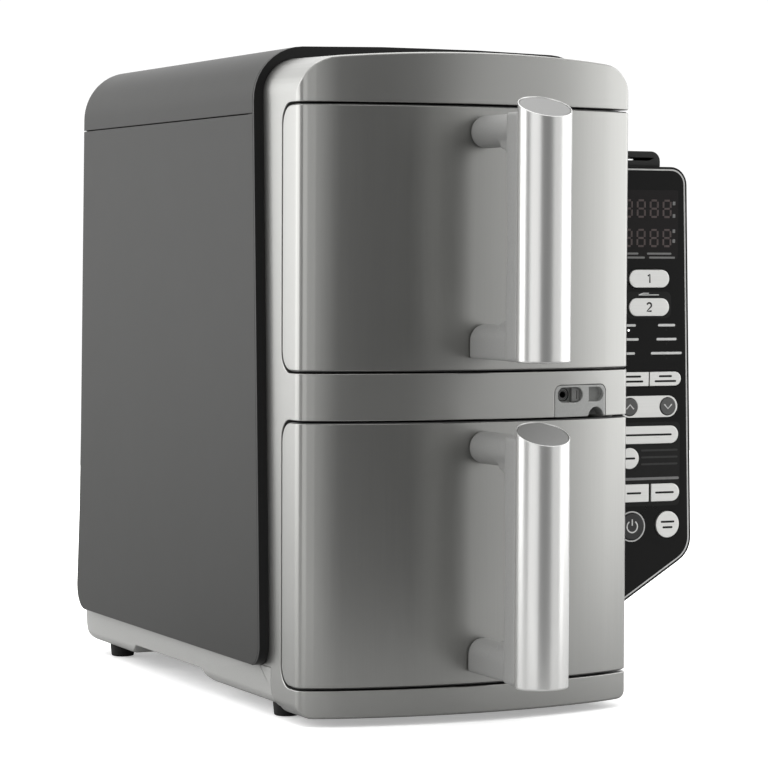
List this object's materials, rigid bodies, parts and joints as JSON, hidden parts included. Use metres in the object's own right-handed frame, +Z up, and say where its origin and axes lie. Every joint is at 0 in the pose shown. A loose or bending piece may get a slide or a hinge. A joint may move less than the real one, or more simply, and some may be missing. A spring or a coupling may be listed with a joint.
{
  "type": "air fryer",
  "caption": "Tall countertop air fryer with stacked pull-out drawers, bar handles, a grey steel cabinet and a black control panel along its right side.",
  "frame": {"origin": "middle of the whole footprint, on the surface the fryer stands on", "axes": "+X to the fryer's right as seen from its front, +Y from the drawer handles to the back, +Z up"},
  "size_m": [0.2838, 0.47, 0.3878],
  "materials": {
    "cabinet_paint": "satin dark warm grey paint",
    "rim_black": "satin black",
    "fascia_silver": "satin silver-grey metallic paint",
    "drawer_steel": "satin brushed silver-grey",
    "frame_plastic": "matt dark grey",
    "base_grey": "satin light grey",
    "foot_rubber": "matt black",
    "vent_black": "matt black",
    "gland_black": "matt black",
    "circuit_board": "green laminate",
    "switch_white": "white nylon",
    "cavity_enamel": "dark grey coated steel",
    "guard_steel": "bright steel",
    "element_steel": "dull oxidised tube",
    "motor_steel": "zinc-plated can",
    "impeller_aluminium": "pressed aluminium",
    "shaft_steel": "ground steel",
    "pan_coating": "dark non-stick ceramic coating on aluminium",
    "handle_grey": "matt mid grey",
    "handle_chrome": "brushed bright chrome",
    "handle_cap_grey": "satin grey",
    "screw_steel": "plated steel",
    "insert_grey": "satin light grey",
    "jack_black": "black",
    "slider_grey": "mid grey",
    "housing_black": "satin black",
    "panel_black": "gloss black",
    "display_dark": "smoked display",
    "dock_black": "satin black",
    "key_silver": "brushed silver plating",
    "arrow_grey": "satin dark grey",
    "key_black": "gloss black with a silver ring"
  },
  "bodies": {
    "cabinet": {"left_side_panel": "cabinet_paint", "right_side_panel": "cabinet_paint", "top_cover": "cabinet_paint", "rim_trim": "rim_black", "fascia": "fascia_silver", "base_tray": "base_grey", "feet": "foot_rubber", "rear_cover": "vent_black", "cord_gland": "gland_black", "main_board": "circuit_board", "drawer_switches": "switch_white", "upper_cavity": "cavity_enamel", "lower_cavity": "cavity_enamel", "upper_fan_guard": "guard_steel", "lower_fan_guard": "guard_steel", "upper_element": "element_steel", "lower_element": "element_steel", "upper_motor": "motor_steel", "lower_motor": "motor_steel", "probe_insert": "insert_grey", "probe_jack": "jack_black", "panel_housing": "housing_black", "panel_lens": "panel_black", "panel_display": "display_dark", "panel_board": "circuit_board", "probe_dock": "dock_black"},
    "upper_drawer": {"upper_drawer_front": "drawer_steel", "upper_drawer_frame": "frame_plastic", "upper_pan": "pan_coating", "upper_crisper_plate": "pan_coating", "upper_handle_spine": "handle_grey", "upper_handle_bar": "handle_chrome", "upper_handle_cap": "handle_cap_grey", "upper_handle_screws": "screw_steel"},
    "upper_fan": {"upper_impeller": "impeller_aluminium", "upper_rotor": "shaft_steel"},
    "lower_drawer": {"lower_drawer_front": "drawer_steel", "lower_drawer_frame": "frame_plastic", "lower_pan": "pan_coating", "lower_crisper_plate": "pan_coating", "lower_handle_spine": "handle_grey", "lower_handle_bar": "handle_chrome", "lower_handle_cap": "handle_cap_grey", "lower_handle_screws": "screw_steel"},
    "lower_fan": {"lower_impeller": "impeller_aluminium", "lower_rotor": "shaft_steel"},
    "probe_cover": {"probe_slider": "slider_grey"},
    "top_zone_key": {"top_zone_key": "key_silver"},
    "bottom_zone_key": {"bottom_zone_key": "key_silver"},
    "temp_key": {"temp_key": "key_silver"},
    "time_key": {"time_key": "key_silver"},
    "up_key": {"up_key": "arrow_grey"},
    "down_key": {"down_key": "arrow_grey"},
    "stack_key": {"stack_key": "key_silver"},
    "mode_key": {"mode_key": "key_silver"},
    "sync_key": {"sync_key": "key_silver"},
    "match_key": {"match_key": "key_silver"},
    "power_key": {"power_key": "key_black"},
    "start_key": {"start_key": "key_silver"}
  },
  "joints": [
    {"name": "upper_drawer_slide", "type": "slide", "parent": "cabinet", "child": "upper_drawer", "axis": [0, -1, 0], "range_m": [0, 0.2]},
    {"name": "upper_fan_spin", "type": "hinge", "parent": "cabinet", "child": "upper_fan", "pos_m": [-0.0299, 0.1805, 0.2756], "axis": [0, 1, 0], "continuous": true},
    {"name": "lower_drawer_slide", "type": "slide", "parent": "cabinet", "child": "lower_drawer", "axis": [0, -1, 0], "range_m": [0, 0.2]},
    {"name": "lower_fan_spin", "type": "hinge", "parent": "cabinet", "child": "lower_fan", "pos_m": [-0.0299, 0.1805, 0.0966], "axis": [0, 1, 0], "continuous": true},
    {"name": "probe_cover_slide", "type": "slide", "parent": "cabinet", "child": "probe_cover", "axis": [-1, 0, 0], "range_m": [0, 0.0064]},
    {"name": "top_zone_key_press", "type": "slide", "parent": "cabinet", "child": "top_zone_key", "axis": [0, 1, 0], "range_m": [0, 0.0008], "stiffness_N_per_m": 500},
    {"name": "bottom_zone_key_press", "type": "slide", "parent": "cabinet", "child": "bottom_zone_key", "axis": [0, 1, 0], "range_m": [0, 0.0008], "stiffness_N_per_m": 500},
    {"name": "temp_key_press", "type": "slide", "parent": "cabinet", "child": "temp_key", "axis": [0, 1, 0], "range_m": [0, 0.0008], "stiffness_N_per_m": 500},
    {"name": "time_key_press", "type": "slide", "parent": "cabinet", "child": "time_key", "axis": [0, 1, 0], "range_m": [0, 0.0008], "stiffness_N_per_m": 500},
    {"name": "up_key_press", "type": "slide", "parent": "cabinet", "child": "up_key", "axis": [0, 1, 0], "range_m": [0, 0.0008], "stiffness_N_per_m": 500},
    {"name": "down_key_press", "type": "slide", "parent": "cabinet", "child": "down_key", "axis": [0, 1, 0], "range_m": [0, 0.0008], "stiffness_N_per_m": 500},
    {"name": "stack_key_press", "type": "slide", "parent": "cabinet", "child": "stack_key", "axis": [0, 1, 0], "range_m": [0, 0.0008], "stiffness_N_per_m": 500},
    {"name": "mode_key_press", "type": "slide", "parent": "cabinet", "child": "mode_key", "axis": [0, 1, 0], "range_m": [0, 0.0008], "stiffness_N_per_m": 500},
    {"name": "sync_key_press", "type": "slide", "parent": "cabinet", "child": "sync_key", "axis": [0, 1, 0], "range_m": [0, 0.0008], "stiffness_N_per_m": 500},
    {"name": "match_key_press", "type": "slide", "parent": "cabinet", "child": "match_key", "axis": [0, 1, 0], "range_m": [0, 0.0008], "stiffness_N_per_m": 500},
    {"name": "power_key_press", "type": "slide", "parent": "cabinet", "child": "power_key", "axis": [0, 1, 0], "range_m": [0, 0.0008], "stiffness_N_per_m": 500},
    {"name": "start_key_press", "type": "slide", "parent": "cabinet", "child": "start_key", "axis": [0, 1, 0], "range_m": [0, 0.0008], "stiffness_N_per_m": 500}
  ]
}
